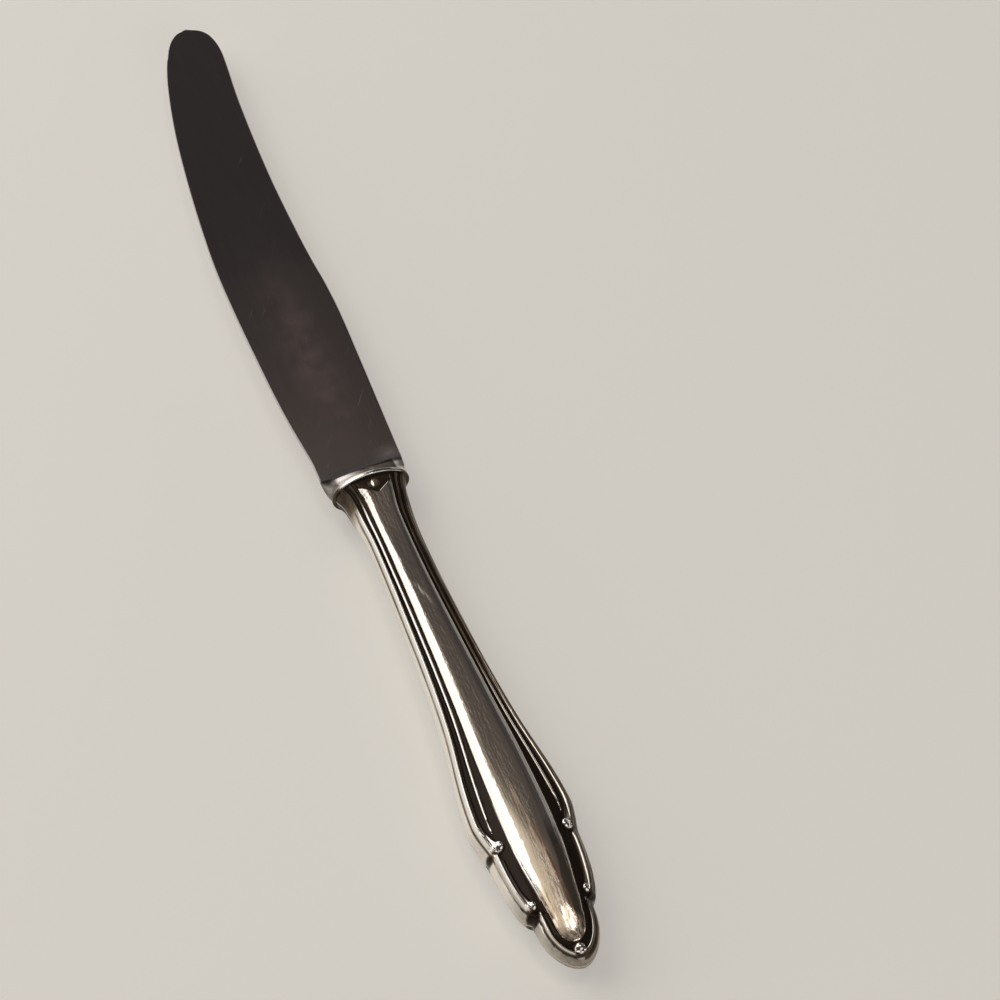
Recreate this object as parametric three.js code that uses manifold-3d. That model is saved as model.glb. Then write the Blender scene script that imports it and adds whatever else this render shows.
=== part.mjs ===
// Table knife with a hollow silver handle, lying on its side.
// Millimetres. +X runs along the knife to the tip, +Y to the cutting edge, +Z up.
// Distances along the blade count from the tip, distances along the handle from its mouth.
import * as THREE from 'three';
import { mergeVertices } from 'three/addons/utils/BufferGeometryUtils.js';
import Module from 'manifold-3d';

const wasm = await Module();
wasm.setup();

// Clearance between pieces that are not soldered face to face
const CLEARANCE = 0.3;

// Blade: lengths, thicknesses and the width of the ground edge
const BLADE_LENGTH = 136.7;
const BLADE_THICKNESS = 2.2;
const TIP_THICKNESS = 1.0;
const EDGE_THICKNESS = 0.3;
const GRIND_WIDTH = 6.0;
const TAPER_LENGTH = 75;

// Blade outline as [distance from the tip, distance from the knife's axis]
const TIP_OFFSET = -4.2;
const CUTTING_EDGE = [
  [0, TIP_OFFSET], [2.2, -0.4], [6.7, 2.0], [16.3, 4.9], [35.8, 8.4],
  [64.6, 11.2], [78.8, 11.6], [99.9, 11.1], [113.7, 10.4], [127.3, 9.05],
];
const SPINE = [
  [0, TIP_OFFSET], [0.5, -5.7], [1.8, -7.9], [4, -9.35], [8.6, -10.2], [14.2, -10],
  [27, -9], [50, -8.3], [68, -8.6], [77.5, -9.05], [83, -9.5], [92, -9.75], [105.8, -9.45], [132, -8.7],
];

// Bolster: the oval collar of the forging and the cove that sweeps from it into the blade
const BOLSTER_WIDTH = 16.1;
const BOLSTER_THICKNESS = 11.5;
const BOLSTER_LAND = 0.4;
const COVE_LENGTH = 4.2;

// Tang: the tapered spike inside the handle
const TANG_LENGTH = 70;
const TANG_WIDTH = 6.4;
const TANG_THICKNESS = 4.2;
const TANG_TIP_SHARE = 0.5;

// Ferrule: the lip ring at the handle's mouth
const FERRULE_LENGTH = 0.8;
const FERRULE_LIP = 0.24;
const FERRULE_ROUND = 0.22;

// Handle: length, sheet and seam
const HANDLE_LENGTH = 113;
const SHEET = 0.7;
const SEAM = 0.3;

// Handle widths along the shank, and the places where they are measured
const MOUTH_WIDTH = 15.2;
const THROAT_AT = 2.6;
const THROAT_WIDTH = 13.2;
const NECK_AT = 15;
const NECK_WIDTH = 11.0;
const SHANK_AT = 40;
const SHANK_WIDTH = 12.6;

// Handle widths near the butt, whose places count back from the butt end
const SWELL_FROM_BUTT = 52;
const SWELL_WIDTH = 15.8;
const BELLY_FROM_BUTT = 32.5;
const BELLY_WIDTH = 20.8;
const FIRST_NOTCH_FROM_BUTT = 25;
const FIRST_NOTCH_WIDTH = 18.2;
const SECOND_NOTCH_FROM_BUTT = 11;
const SECOND_NOTCH_WIDTH = 12.0;
const BUTT_LOBE_FROM_BUTT = 9;
const BUTT_LOBE_WIDTH = 11.6;
const BUTT_ROUNDNESS = 1.8;

// Handle thicknesses at the same places
const MOUTH_THICKNESS = 10.8;
const NECK_THICKNESS = 9.6;
const SHANK_THICKNESS = 10.7;
const BELLY_THICKNESS = 12.5;
const FIRST_NOTCH_THICKNESS = 12.2;
const SECOND_NOTCH_THICKNESS = 9.4;
const BUTT_THICKNESS = 8.8;
const SECTION_ROUNDNESS = 2.3;

// Relief: border thread, inner thread, recess and centre panel
const WALL_LEAN = 0.8;
const RECESS = 0.6;
const BORDER_INSET = 1.3;
const BORDER_RISE = 0.2;
const INNER_THREAD_SHARE = 0.45;
const INNER_THREAD_RISE = 0.5;
const INNER_THREAD_FROM_BUTT = 29;
const FIRST_KNOB_FROM_BUTT = 26.2;
const FIRST_KNOB_OFFSET = 7.0;
const SECOND_KNOB_FROM_BUTT = 13;
const SECOND_KNOB_OFFSET = 5.6;
const KNOB_RISE = 0.45;
const CURL_LENGTH = 5;
const NECK_PANEL_WIDTH = 5.4;
const BELLY_PANEL_WIDTH = 9.4;
const BUTT_PANEL_WIDTH = 4.9;
const PANEL_END_FROM_BUTT = 4.6;
const HEEL_LENGTH = 3.9;

// Facets: points round a ring, and steps along the handle's stretches
const RING_POINTS = 28;
const MOUTH_STEPS = 4;
const SHANK_STEPS = 15;
const BELLY_STEPS = 6;
const LOBE_STEPS = 8;
const BUTT_STEPS = 8;

const STEEL = { color: 0x6a6462, roughness: 0.22, metalness: 1 };
const SILVER = { color: 0xc9c3b6, roughness: 0.25, metalness: 1 };
const SOLDER = { color: 0xa9a297, roughness: 0.4, metalness: 1 };
const CEMENT = { color: 0x5b4a3a, roughness: 0.9, metalness: 0 };

// A smooth curve through [place, value] points, read at any place and level beyond its ends
function curveThrough(points) {
  const slopes = points.map((point, k) => {
    const before = points[Math.max(k - 1, 0)];
    const after = points[Math.min(k + 1, points.length - 1)];
    return (after[1] - before[1]) / (after[0] - before[0]);
  });
  return (place) => {
    const at = THREE.MathUtils.clamp(place, points[0][0], points.at(-1)[0]);
    const found = points.findIndex((point) => point[0] >= at);
    const k = Math.max(found, 1);
    const [start, low] = points[k - 1];
    const [end, high] = points[k];
    const span = end - start;
    const t = (at - start) / span;
    const ease = t * t * (3 - 2 * t);
    const out = t * (1 - t) * (1 - t) * slopes[k - 1] * span;
    const back = t * t * (1 - t) * slopes[k] * span;
    return low + (high - low) * ease + out - back;
  };
}

// The same, drawn over the square root of the distance, so that the curve starts round
function roundStart(points) {
  const curve = curveThrough(points.map(([distance, value]) => [Math.sqrt(distance), value]));
  return (distance) => curve(Math.sqrt(Math.max(distance, 0)));
}

function spaced(from, to, steps) {
  return Array.from({ length: steps + 1 }, (_, k) => from + (to - from) * k / steps);
}

// Collects triangles and leaves out the ones that have shrunk to a line
class Skin {
  constructor() {
    this.positions = [];
  }

  triangle(a, b, c) {
    const ab = new THREE.Vector3().subVectors(b, a);
    const ac = new THREE.Vector3().subVectors(c, a);
    if (ab.cross(ac).length() > 1e-7) {
      this.positions.push(...a.toArray(), ...b.toArray(), ...c.toArray());
    }
  }

  quad(a, b, c, d) {
    this.triangle(a, b, c);
    this.triangle(a, c, d);
  }

  // The strip between two rows of points that run the same way
  strip(row, next) {
    for (let k = 0; k + 1 < row.length; k += 1) {
      this.quad(row[k], row[k + 1], next[k + 1], next[k]);
    }
  }

  // The flat face between two rows with different numbers of points
  lace(row, next) {
    let i = 0;
    let j = 0;
    while (i + 1 < row.length || j + 1 < next.length) {
      const rowShare = (i + 1) / (row.length - 1);
      const nextShare = (j + 1) / (next.length - 1);
      if (i + 1 < row.length && rowShare <= nextShare) {
        this.triangle(row[i], row[i + 1], next[j]);
        i += 1;
      } else {
        this.triangle(row[i], next[j + 1], next[j]);
        j += 1;
      }
    }
  }

  geometry() {
    const skin = new THREE.BufferGeometry();
    skin.setAttribute('position', new THREE.Float32BufferAttribute(this.positions, 3));
    return mergeVertices(skin, 1e-4);
  }
}

// A skin over rings of points that follow +X, closed at both ends or back onto its first ring
function loft(rings, joined = false) {
  const skin = new Skin();
  const closed = rings.map((ring) => [...ring, ring[0]]);
  for (let k = 0; k + 1 < closed.length; k += 1) {
    skin.strip(closed[k], closed[k + 1]);
  }
  if (joined) {
    skin.strip(closed.at(-1), closed[0]);
    return skin.geometry();
  }
  const middle = (ring) => ring.reduce((sum, p) => sum.add(p), new THREE.Vector3()).divideScalar(ring.length);
  const first = closed[0];
  const last = closed.at(-1);
  const start = middle(rings[0]);
  const end = middle(rings.at(-1));
  for (let k = 0; k < RING_POINTS; k += 1) {
    skin.triangle(start, first[k + 1], first[k]);
    skin.triangle(end, last[k], last[k + 1]);
  }
  return skin.geometry();
}

function ringAngles() {
  return Array.from({ length: RING_POINTS }, (_, k) => 2 * Math.PI * k / RING_POINTS);
}

function oval(x, width, thickness) {
  return ringAngles().map((angle) => {
    const y = Math.cos(angle) * width / 2;
    const z = Math.sin(angle) * thickness / 2;
    return new THREE.Vector3(x, y, z);
  });
}

// Blade, bolster and tang: rings from the tang's end to the blade's tip
const edgeFromTip = roundStart(CUTTING_EDGE);
const spineFromTip = roundStart(SPINE);
const BOLSTER_BACK = FERRULE_LENGTH;
const COVE_FROM = BOLSTER_BACK + BOLSTER_LAND;
const COVE_TO = COVE_FROM + COVE_LENGTH;
const TIP = BOLSTER_BACK + BLADE_LENGTH;

function bladeRing(x) {
  const fromTip = TIP - x;
  const edge = edgeFromTip(fromTip);
  const spine = spineFromTip(fromTip);
  const taper = Math.min(fromTip / TAPER_LENGTH, 1);
  const flat = THREE.MathUtils.lerp(TIP_THICKNESS, BLADE_THICKNESS, taper) / 2;
  return ringAngles().map((angle, k) => {
    const y = (edge + spine) / 2 + Math.cos(angle) * (edge - spine) / 2;
    const ground = Math.min((edge - y) / GRIND_WIDTH, 1);
    const half = THREE.MathUtils.lerp(EDGE_THICKNESS / 2, flat, ground);
    const side = k % (RING_POINTS / 2) === 0 ? 0 : Math.sign(Math.sin(angle));
    return new THREE.Vector3(x, y, half * side);
  });
}

function coveRing(x) {
  const collar = oval(x, BOLSTER_WIDTH, BOLSTER_THICKNESS);
  const sweep = ((COVE_TO - x) / COVE_LENGTH) ** 2;
  return bladeRing(x).map((point, k) => point.lerp(collar[k], sweep));
}

function tangRing(x, clearance) {
  const share = (BOLSTER_BACK - x) / TANG_LENGTH;
  const taper = THREE.MathUtils.lerp(1, TANG_TIP_SHARE, share);
  return oval(x, TANG_WIDTH * taper + 2 * clearance, TANG_THICKNESS * taper + 2 * clearance);
}

function bladeGeometry() {
  const coveSteps = 6;
  const bladeSteps = 22;
  const noseSteps = 8;
  const noseLength = 10;
  const noseTrim = 0.12;
  const noseFrom = TIP - noseLength;
  const tang = spaced(BOLSTER_BACK - TANG_LENGTH, BOLSTER_BACK, 3).map((x) => tangRing(x, 0));
  const collar = oval(BOLSTER_BACK, BOLSTER_WIDTH, BOLSTER_THICKNESS);
  const cove = spaced(COVE_FROM, COVE_TO, coveSteps).map(coveRing);
  const blade = spaced(COVE_TO, noseFrom, bladeSteps).slice(1).map(bladeRing);
  const noseShares = spaced(0, 1, noseSteps).slice(1);
  const nose = noseShares.map((share) => {
    const left = THREE.MathUtils.lerp(noseTrim, noseLength, (1 - share) ** 2);
    return bladeRing(TIP - left);
  });
  return loft([...tang, collar, ...cove, ...blade, ...nose]);
}

// Ferrule: a lip a little prouder than the bolster, with a hole for the tang
function ferruleGeometry() {
  const width = BOLSTER_WIDTH + 2 * FERRULE_LIP;
  const thickness = BOLSTER_THICKNESS + 2 * FERRULE_LIP;
  const rounded = (x) => oval(x, width - 2 * FERRULE_ROUND, thickness - 2 * FERRULE_ROUND);
  const hole = (x) => tangRing(x, CLEARANCE);
  const lip = (x) => oval(x, width, thickness);
  const rings = [hole(FERRULE_LENGTH), hole(0), rounded(0), lip(FERRULE_ROUND)];
  rings.push(lip(FERRULE_LENGTH - FERRULE_ROUND), rounded(FERRULE_LENGTH));
  return loft(rings, true);
}

// Handle outline: half-widths and half-thicknesses by distance from the mouth
const fromMouth = (fromButt) => HANDLE_LENGTH - fromButt;
const FIRST_NOTCH_AT = fromMouth(FIRST_NOTCH_FROM_BUTT);
const SECOND_NOTCH_AT = fromMouth(SECOND_NOTCH_FROM_BUTT);
const FOCUS_AT = fromMouth(BUTT_LOBE_FROM_BUTT);
const BELLY_AT = fromMouth(BELLY_FROM_BUTT);

const shankWidth = curveThrough([
  [0, MOUTH_WIDTH], [THROAT_AT, THROAT_WIDTH], [NECK_AT, NECK_WIDTH], [SHANK_AT, SHANK_WIDTH],
  [fromMouth(SWELL_FROM_BUTT), SWELL_WIDTH], [BELLY_AT, BELLY_WIDTH], [FIRST_NOTCH_AT, FIRST_NOTCH_WIDTH],
]);
const thickness = curveThrough([
  [0, MOUTH_THICKNESS], [NECK_AT, NECK_THICKNESS], [SHANK_AT, SHANK_THICKNESS], [BELLY_AT, BELLY_THICKNESS],
  [FIRST_NOTCH_AT, FIRST_NOTCH_THICKNESS], [SECOND_NOTCH_AT, SECOND_NOTCH_THICKNESS],
  [FOCUS_AT, BUTT_THICKNESS],
]);

function halfWidth(at) {
  if (at <= FIRST_NOTCH_AT) {
    return shankWidth(at) / 2;
  }
  if (at <= SECOND_NOTCH_AT) {
    const share = (at - FIRST_NOTCH_AT) / (SECOND_NOTCH_AT - FIRST_NOTCH_AT);
    const bow = Math.sqrt(1 - share * share);
    return THREE.MathUtils.lerp(SECOND_NOTCH_WIDTH, FIRST_NOTCH_WIDTH, bow) / 2;
  }
  const share = (at - SECOND_NOTCH_AT) / (FOCUS_AT - SECOND_NOTCH_AT);
  return THREE.MathUtils.lerp(SECOND_NOTCH_WIDTH, BUTT_LOBE_WIDTH, share) / 2;
}

// How far the butt lobe reaches from its focus, at an angle from the knife's axis
function buttReach(angle) {
  const along = Math.abs(Math.cos(angle)) / BUTT_LOBE_FROM_BUTT;
  const across = Math.abs(Math.sin(angle)) / (BUTT_LOBE_WIDTH / 2);
  return (along ** BUTT_ROUNDNESS + across ** BUTT_ROUNDNESS) ** (-1 / BUTT_ROUNDNESS);
}

// Half-width of the centre panel, which narrows to the butt and ends round
const panelHalf = curveThrough([
  [0, NECK_PANEL_WIDTH / 2], [NECK_AT, NECK_PANEL_WIDTH / 2], [BELLY_AT, BELLY_PANEL_WIDTH / 2],
  [FOCUS_AT, BUTT_PANEL_WIDTH / 2],
]);
const PANEL_NOSE = BUTT_LOBE_FROM_BUTT - PANEL_END_FROM_BUTT;

function panelNose(angle) {
  return 1 / Math.hypot(Math.cos(angle) / PANEL_NOSE, Math.sin(angle) / (BUTT_PANEL_WIDTH / 2));
}

// Crest of the border thread, which curls inwards to a knob before each notch
const FIRST_KNOB_AT = fromMouth(FIRST_KNOB_FROM_BUTT);
const SECOND_KNOB_AT = fromMouth(SECOND_KNOB_FROM_BUTT);

function borderCrest(at) {
  const crest = halfWidth(at) - BORDER_INSET;
  const curl = (knobAt, offset) => {
    const near = 1 - Math.min(Math.abs(at - knobAt) / CURL_LENGTH, 1);
    return (offset - (halfWidth(knobAt) - BORDER_INSET)) * near * near;
  };
  return crest + curl(FIRST_KNOB_AT, FIRST_KNOB_OFFSET) + curl(SECOND_KNOB_AT, SECOND_KNOB_OFFSET);
}

function knobRise(at) {
  const near = (knobAt) => Math.max(1 - Math.abs(at - knobAt) / CURL_LENGTH * 3, 0);
  return KNOB_RISE * Math.max(near(FIRST_KNOB_AT), near(SECOND_KNOB_AT));
}

// Stations run down one side of the handle, round the butt and back up the other side.
// Each looks outwards from the axis, or from the focus of the butt lobe.
function handleStations() {
  const straight = [
    ...spaced(0, NECK_AT, MOUTH_STEPS),
    ...spaced(NECK_AT, BELLY_AT, SHANK_STEPS).slice(1),
    ...spaced(BELLY_AT, FIRST_NOTCH_AT, BELLY_STEPS).slice(1),
    ...spaced(FIRST_NOTCH_AT, SECOND_NOTCH_AT, LOBE_STEPS).slice(1),
  ];
  const side = (at, sign) => {
    const reach = halfWidth(at);
    return { at, along: 0, across: sign, reach, border: borderCrest(at), panel: panelHalf(at) };
  };
  const round = (angle) => {
    const reach = buttReach(angle);
    const outwards = { along: Math.cos(angle), across: Math.sin(angle) };
    return { at: FOCUS_AT, ...outwards, reach, border: reach - BORDER_INSET, panel: panelNose(angle) };
  };
  const butt = spaced(Math.PI / 2, -Math.PI / 2, 2 * BUTT_STEPS).map(round);
  const left = straight.map((at) => side(at, 1));
  const right = straight.toReversed().map((at) => side(at, -1));
  return [...left, ...butt, ...right];
}

// Height of the smooth crown above the seam plane, before any relief
function crown(station, out) {
  const share = Math.min(out / station.reach, 1);
  return thickness(station.at) / 2 * (1 - share ** SECTION_ROUNDNESS) ** (1 / SECTION_ROUNDNESS);
}

// The outer skin's points at one station, from the seam to the axis
function outerRow(station) {
  const { at, reach, border, panel } = station;
  const inner = THREE.MathUtils.lerp(panel, border, INNER_THREAD_SHARE);
  const fade = at < fromMouth(INNER_THREAD_FROM_BUTT) ? INNER_THREAD_RISE : 0;
  const heel = (out) => (at < HEEL_LENGTH * (1 - out / panel) && at > 0 ? -RECESS : 0);
  const rails = [
    [reach - WALL_LEAN, 0],
    [border, BORDER_RISE + knobRise(at)],
    [(border + inner) / 2, -RECESS],
    [inner, fade - RECESS],
    [(inner + panel) / 2, -RECESS],
    [panel, heel(panel)],
    [panel / 2, heel(panel / 2)],
    [0, heel(0)],
  ];
  const points = rails.map(([out, rise]) => ({ out, height: crown(station, out) + rise }));
  return [{ out: reach, height: SEAM / 2 }, ...points];
}

// Points inside the outer skin by a depth, on the rails that the sheet's inside follows
const INSIDE_RAILS = [0, 1, 3, 5, 8];

function innerRow(station, depth, seamHeight) {
  const shrink = (station.reach - depth) / station.reach;
  const row = outerRow(station);
  return INSIDE_RAILS.map((rail) => {
    const { out, height } = row[rail];
    return { out: out * shrink, height: rail === 0 ? seamHeight : height - depth };
  });
}

function place(station, { out, height }, start = 0) {
  const along = Math.max(station.at + station.along * out, start);
  return new THREE.Vector3(-along, station.across * out, height);
}

// One stamped half of the handle, facing up
function shellGeometry() {
  const skin = new Skin();
  const stations = handleStations();
  const outer = stations.map((station) => outerRow(station).map((p) => place(station, p)));
  const inner = stations.map((station) => innerRow(station, SHEET, SEAM / 2).map((p) => place(station, p)));
  for (let k = 0; k + 1 < stations.length; k += 1) {
    skin.strip(outer[k + 1], outer[k]);
    skin.strip(inner[k], inner[k + 1]);
    skin.quad(inner[k][0], inner[k + 1][0], outer[k + 1][0], outer[k][0]);
  }
  const across = (rows) => [...rows[0], ...rows.at(-1).toReversed().slice(1)];
  skin.lace(across(outer), across(inner));
  return skin.geometry();
}

// The same half turned over to face down, so that both sides of the handle match
function turnedOver(geometry) {
  const turned = geometry.clone().scale(1, 1, -1);
  const corners = turned.index.array;
  for (let k = 0; k < corners.length; k += 3) {
    [corners[k], corners[k + 1]] = [corners[k + 1], corners[k]];
  }
  return turned;
}

// The soldered seam: a flat strip between the rims of the two halves
function seamGeometry() {
  const skin = new Skin();
  const rows = handleStations().map((station) => {
    const corner = (out, height) => place(station, { out, height });
    const inside = station.reach - SHEET;
    const outside = station.reach;
    const low = -SEAM / 2;
    const high = SEAM / 2;
    const corners = [corner(outside, low), corner(outside, high), corner(inside, high), corner(inside, low)];
    return [...corners, corners[0]];
  });
  for (let k = 0; k + 1 < rows.length; k += 1) {
    skin.strip(rows[k + 1], rows[k]);
  }
  const first = rows[0];
  const last = rows.at(-1);
  skin.quad(first[0], first[1], first[2], first[3]);
  skin.quad(last[3], last[2], last[1], last[0]);
  return skin.geometry();
}

function toSolid(geometry) {
  const vertProperties = new Float32Array(geometry.attributes.position.array);
  const triVerts = new Uint32Array(geometry.index.array);
  return new wasm.Manifold(new wasm.Mesh({ numProp: 3, vertProperties, triVerts }));
}

function fromSolid(solid) {
  const mesh = solid.getMesh();
  const geometry = new THREE.BufferGeometry();
  geometry.setAttribute('position', new THREE.Float32BufferAttribute(mesh.vertProperties, 3));
  geometry.setIndex([...mesh.triVerts]);
  return geometry;
}

// Cement: fills the hollow inside both halves, with a bore that the tang left in it
function cementGeometry() {
  const skin = new Skin();
  const stations = handleStations();
  const depth = SHEET + CLEARANCE;
  const top = stations.map((station) => innerRow(station, depth, 0).map((p) => place(station, p, CLEARANCE)));
  const bottom = top.map((row) => row.map((p) => new THREE.Vector3(p.x, p.y, -p.z)));
  for (let k = 0; k + 1 < stations.length; k += 1) {
    skin.strip(top[k + 1], top[k]);
    skin.strip(bottom[k], bottom[k + 1]);
  }
  const across = (rows) => [...rows[0], ...rows.at(-1).toReversed().slice(1)];
  skin.strip(across(top), across(bottom));
  const bore = spaced(BOLSTER_BACK - TANG_LENGTH - CLEARANCE, BOLSTER_BACK, 3).map((x) => tangRing(x, CLEARANCE));
  return fromSolid(toSolid(skin.geometry()).subtract(toSolid(loft(bore))));
}

const knife = new THREE.Group();

function addPiece(name, geometry, finish) {
  const flatShaded = geometry.toNonIndexed();
  flatShaded.computeVertexNormals();
  const piece = new THREE.Mesh(flatShaded, new THREE.MeshStandardMaterial(finish));
  piece.name = name;
  knife.add(piece);
}

const shell = shellGeometry();
addPiece('blade', bladeGeometry(), STEEL);
addPiece('mouth_ferrule', ferruleGeometry(), SILVER);
addPiece('handle_front_shell', shell, SILVER);
addPiece('handle_back_shell', turnedOver(shell), SILVER);
addPiece('seam_solder', seamGeometry(), SOLDER);
addPiece('handle_cement', cementGeometry(), CEMENT);

// The origin lies under the middle of the knife, on the surface that it lies on
const box = new THREE.Box3().setFromObject(knife);
const middle = box.getCenter(new THREE.Vector3());
knife.position.set(-middle.x, -middle.y, -box.min.z);

const tableKnife = new THREE.Group();
tableKnife.add(knife);

export default tableKnife;
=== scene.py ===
# %% [markdown]
# # A table knife with a hollow silver handle
# The imported model gives the knife's solids in metres, in the model's frame.
# Each solid that shows gets a finer piece here, with the finish of the real metal.

import bmesh
import bpy
import numpy as np
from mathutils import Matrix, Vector


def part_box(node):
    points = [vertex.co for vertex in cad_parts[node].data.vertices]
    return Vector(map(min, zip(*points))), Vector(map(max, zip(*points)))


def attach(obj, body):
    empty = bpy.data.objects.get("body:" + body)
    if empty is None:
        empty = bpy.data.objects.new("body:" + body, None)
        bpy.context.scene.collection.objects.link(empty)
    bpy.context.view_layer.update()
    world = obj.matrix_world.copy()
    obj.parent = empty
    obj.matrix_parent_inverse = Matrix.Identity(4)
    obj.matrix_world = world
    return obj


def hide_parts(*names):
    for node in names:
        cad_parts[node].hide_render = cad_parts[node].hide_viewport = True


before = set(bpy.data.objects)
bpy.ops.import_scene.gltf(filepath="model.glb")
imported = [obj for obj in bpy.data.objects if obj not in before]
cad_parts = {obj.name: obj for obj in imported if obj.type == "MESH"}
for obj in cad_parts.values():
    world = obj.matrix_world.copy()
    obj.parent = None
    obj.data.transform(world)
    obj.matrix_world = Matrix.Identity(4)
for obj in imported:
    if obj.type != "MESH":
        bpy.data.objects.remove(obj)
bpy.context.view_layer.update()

print("packed nodes:", ", ".join(sorted(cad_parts)))

# %% [markdown]
# The handle's mouth, where handle, ferrule and blade meet, is the natural place to measure from.
# The middle of the seam strip's box lies on the knife's long axis. Sizes below are in
# millimetres from the middle of the mouth.

# %% Measure from the mouth of the handle
MM = 0.001
shell_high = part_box("handle_front_shell")[1]
seam_low, seam_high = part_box("seam_solder")
seam_middle = (seam_low + seam_high) / 2
mouth = np.array([shell_high.x, seam_middle.y, seam_middle.z])


def from_mouth(points):
    """Points in millimetres from the middle of the handle's mouth, as metres in the frame."""
    return np.asarray(points, float) * MM + mouth


print("mouth of the handle in mm:", np.round(mouth / MM, 3))

# %% [markdown]
# The camera stands behind the butt and a little to the side of the cutting edge, and looks
# down over the handle. A long lens keeps the blade from shrinking much towards its tip.

# %% Camera
CAMERA_PLACE = (-302.4, 91.5, 449.5)
CAMERA_AIM = (-11.74, -23.48, 0.0)
LENS_LENGTH = 97.2
camera_place = Vector(from_mouth(CAMERA_PLACE))
camera_look = Vector(from_mouth(CAMERA_AIM)) - camera_place
camera_turn = camera_look.to_track_quat("-Z", "Y").to_euler()
bpy.ops.object.camera_add(location=camera_place, rotation=camera_turn)
camera = bpy.context.object
camera.data.lens = LENS_LENGTH
bpy.context.scene.camera = camera
bpy.context.scene.view_settings.view_transform = "Standard"
print("camera is", round(camera_look.length, 3), "m from its aim")

# %% [markdown]
# The floor is one large plane, so no backdrop is needed. Its finish is a small web of nodes, and
# the helpers here add a node and link or set its inputs. The floor takes shadow like paper. Part
# of its paleness is shown only to the camera and in mirrors or glass, so no light is added to
# the knife, and the metal still mirrors a floor as pale as the one that the camera sees.

# %% Finish of the floor
def feed(node, inputs):
    """Links inputs of a node to the outputs of other nodes, or sets them to plain values."""
    for socket, value in inputs.items():
        if isinstance(value, bpy.types.NodeSocket):
            node.id_data.links.new(value, node.inputs[socket])
        else:
            node.inputs[socket].default_value = value


def add_node(tree, kind, inputs, **settings):
    """A new shader node with its settings and inputs."""
    node = tree.nodes.new("ShaderNode" + kind)
    for setting, value in settings.items():
        setattr(node, setting, value)
    feed(node, inputs)
    return node


def reckon(tree, operation, *values):
    """The result of a Math node."""
    return add_node(tree, "Math", dict(enumerate(values)), operation=operation).outputs[0]


def new_finish(name):
    """A new material, its node tree and its shader."""
    finish = bpy.data.materials.new(name)
    finish.use_nodes = True
    return finish, finish.node_tree, finish.node_tree.nodes["Principled BSDF"]


FLOOR_COLOUR = (0.67, 0.652, 0.616, 1)
SHOWN_PALENESS = 0.46
floor_finish, tree, shader = new_finish("pale_floor")
ray = add_node(tree, "LightPath", {}).outputs
seen = reckon(tree, "MAXIMUM", ray["Is Camera Ray"], ray["Is Glossy Ray"])
seen = reckon(tree, "MAXIMUM", seen, ray["Is Transmission Ray"])
feed(shader, {
    "Base Color": FLOOR_COLOUR,
    "Roughness": 0.45,
    "Emission Color": FLOOR_COLOUR,
    "Emission Strength": reckon(tree, "MULTIPLY", seen, SHOWN_PALENESS),
})
print("floor colour:", FLOOR_COLOUR[:3])

# %% Floor
FLOOR_SIZE = 9
bpy.ops.mesh.primitive_plane_add(size=FLOOR_SIZE)
floor = bpy.context.object
floor.name = "floor"
floor.data.materials.append(floor_finish)
print("floor size in m:", FLOOR_SIZE)

# %% [markdown]
# Polished metal shows what stands round it. A softbox beyond the blade, on the cutting edge's
# side, draws white lines along every thread that leans towards it, and a strip there lights the
# handle's flank. A low softbox beyond the tip lights what leans to the blade, and a small
# overhead lamp what slopes to the butt. A faint card keeps the far side from going black, and a
# broad fill stands behind the camera.

# %% Lamps
LAMP_WHITE = (1.0, 0.975, 0.94)
LAMP_WARM = (1.0, 0.96, 0.90)
LAMPS = {
    # name: (direction from the knife, distance in m, width, height, watts, colour)
    "key_softbox": ((0.50, 0.50, 0.707), 1.5, 1.45, 1.2, 5.9, LAMP_WHITE),
    "front_softbox": ((0.924, 0.130, 0.358), 1.6, 1.29, 0.74, 4.2, LAMP_WHITE),
    "overhead_lamp": ((-0.10, -0.19, 0.97), 1.2, 0.24, 0.24, 0.8, LAMP_WARM),
    "left_strip": ((0.45, 0.87, 0.24), 1.5, 1.1, 0.4, 2.3, LAMP_WHITE),
    "right_card": ((0.35, -0.90, 0.26), 1.6, 1.3, 0.35, 0.24, LAMP_WHITE),
    "fill_softbox": ((-0.83, -0.25, 0.50), 1.6, 1.4, 1.0, 3.6, LAMP_WHITE),
}
for name, (direction, distance, lamp_width, lamp_height, watts, colour) in LAMPS.items():
    away = Vector(direction).normalized()
    bpy.ops.object.light_add(type="AREA", location=away * distance)
    lamp = bpy.context.object
    lamp.name = name
    lamp.rotation_euler = away.to_track_quat("Z", "Y").to_euler()
    lamp.data.shape = "RECTANGLE"
    lamp.data.size = lamp_width
    lamp.data.size_y = lamp_height
    lamp.data.energy = watts
    lamp.data.color = colour
print("lamps:", ", ".join(LAMPS))

# %% [markdown]
# Between the lamps the metal mirrors the room. It is a ramp from a pale horizon to a dark wall,
# so that the flat blade looks dark, with a warm glow on the ceiling. Its right side is dark down
# to the horizon, which keeps the handle's far side dark.

# %% Room
def map_range(tree, value, low, high, to_low=0, to_high=1, course="LINEAR"):
    """Maps a value from one span to another, and stays inside the second."""
    spans = {"Value": value, "From Min": low, "From Max": high, "To Min": to_low, "To Max": to_high}
    return add_node(tree, "MapRange", spans, interpolation_type=course).outputs["Result"]


def blend(tree, share, first, second):
    """A colour that goes from the first to the second one as the share goes from 0 to 1."""
    colours = {"Factor": share, "A": first, "B": second}
    return add_node(tree, "Mix", colours, data_type="RGBA").outputs["Result"]


def colour_ramp(tree, value, stops):
    """A colour that runs through (place, colour) stops."""
    node = add_node(tree, "ValToRGB", {"Fac": value})
    elements = node.color_ramp.elements
    while len(elements) < len(stops):
        elements.new(0.5)
    for element, (place, colour) in zip(elements, stops):
        element.position = place
        element.color = colour
    return node.outputs["Color"]


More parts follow.
